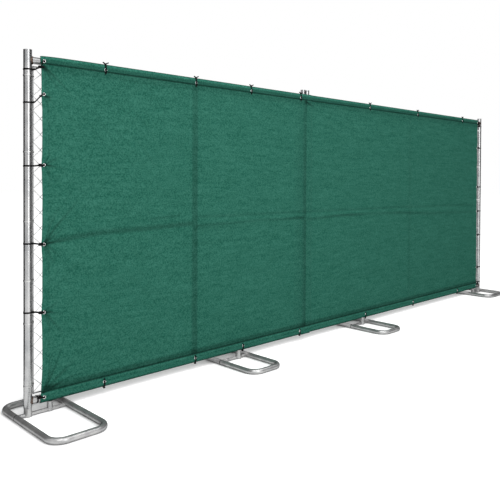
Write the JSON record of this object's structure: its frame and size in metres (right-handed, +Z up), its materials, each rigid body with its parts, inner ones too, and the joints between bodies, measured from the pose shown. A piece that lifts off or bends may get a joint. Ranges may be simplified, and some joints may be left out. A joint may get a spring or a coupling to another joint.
{
  "type": "chain-link fence",
  "caption": "Temporary chain-link fence: clamped tube panels with mesh and a green privacy screen tied over the front, on loop-shaped tube stands that turn.",
  "frame": {"origin": "on the ground, in the plane of the posts, midway between the two outer posts", "axes": "+X along the fence from the shorter panel to the longer one, +Y from the screen's side to the mesh's side, +Z up"},
  "size_m": [5.0678, 0.8638, 1.842],
  "materials": {
    "galvanised_tube": "galvanised, smooth",
    "galvanised_wire": "galvanised, dull",
    "zinc_hardware": "zinc plated",
    "weld": "raw weld with zinc paint",
    "screen": "knitted plastic yarn, matt",
    "eyelet": "nickel plated",
    "cable_tie": "black nylon"
  },
  "bodies": {
    "left_panel": {"joint_bands": "zinc_hardware", "joint_bolts": "zinc_hardware", "joint_nuts": "zinc_hardware", "joint_screen_strip": "screen", "left_bottom_rail": "galvanised_tube", "left_bottom_ties": "cable_tie", "left_brace": "galvanised_tube", "left_chain_link": "galvanised_wire", "left_frame_welds": "weld", "left_grommets": "eyelet", "left_inner_post": "galvanised_tube", "left_outer_post": "galvanised_tube", "left_post_ties": "cable_tie", "left_screen": "screen", "left_tension_bands": "galvanised_wire", "left_tension_rods": "galvanised_wire", "left_top_rail": "galvanised_tube", "left_top_ties": "cable_tie", "left_wire_ties": "galvanised_wire"},
    "right_panel": {"right_bottom_rail": "galvanised_tube", "right_bottom_ties": "cable_tie", "right_brace": "galvanised_tube", "right_chain_link": "galvanised_wire", "right_frame_welds": "weld", "right_grommets": "eyelet", "right_inner_post": "galvanised_tube", "right_outer_post": "galvanised_tube", "right_post_ties": "cable_tie", "right_screen": "screen", "right_tension_bands": "galvanised_wire", "right_tension_rods": "galvanised_wire", "right_top_rail": "galvanised_tube", "right_top_ties": "cable_tie", "right_wire_ties": "galvanised_wire"},
    "left_end_stand": {"left_end_stand_crossbar": "galvanised_tube", "left_end_stand_loop": "galvanised_tube", "left_end_stand_spare_pin": "galvanised_tube", "left_end_stand_spigot": "galvanised_tube", "left_end_stand_upright": "galvanised_tube"},
    "left_mid_stand": {"left_mid_stand_crossbar": "galvanised_tube", "left_mid_stand_loop": "galvanised_tube", "left_mid_stand_rail_pin": "galvanised_tube", "left_mid_stand_upright": "galvanised_tube"},
    "right_mid_stand": {"right_mid_stand_crossbar": "galvanised_tube", "right_mid_stand_loop": "galvanised_tube", "right_mid_stand_rail_pin": "galvanised_tube", "right_mid_stand_upright": "galvanised_tube"},
    "right_end_stand": {"right_end_stand_crossbar": "galvanised_tube", "right_end_stand_loop": "galvanised_tube", "right_end_stand_spare_pin": "galvanised_tube", "right_end_stand_spigot": "galvanised_tube", "right_end_stand_upright": "galvanised_tube"}
  },
  "joints": [
    {"name": "panel_fold", "type": "hinge", "parent": "left_panel", "child": "right_panel", "pos_m": [-0.33, 0, 0.9], "axis": [0, 0, 1], "range_deg": [-60, 60], "deforming": ["joint_screen_strip"]},
    {"name": "left_end_stand_swivel", "type": "hinge", "parent": "left_panel", "child": "left_end_stand", "pos_m": [-2.45, 0, 0.03], "axis": [0, 0, 1], "continuous": true},
    {"name": "left_mid_stand_swivel", "type": "hinge", "parent": "left_panel", "child": "left_mid_stand", "pos_m": [-1.01, 0, 0.03], "axis": [0, 0, 1], "continuous": true},
    {"name": "right_mid_stand_swivel", "type": "hinge", "parent": "right_panel", "child": "right_mid_stand", "pos_m": [0.38, 0, 0.03], "axis": [0, 0, 1], "continuous": true},
    {"name": "right_end_stand_swivel", "type": "hinge", "parent": "right_panel", "child": "right_end_stand", "pos_m": [2.45, 0, 0.03], "axis": [0, 0, 1], "continuous": true}
  ]
}
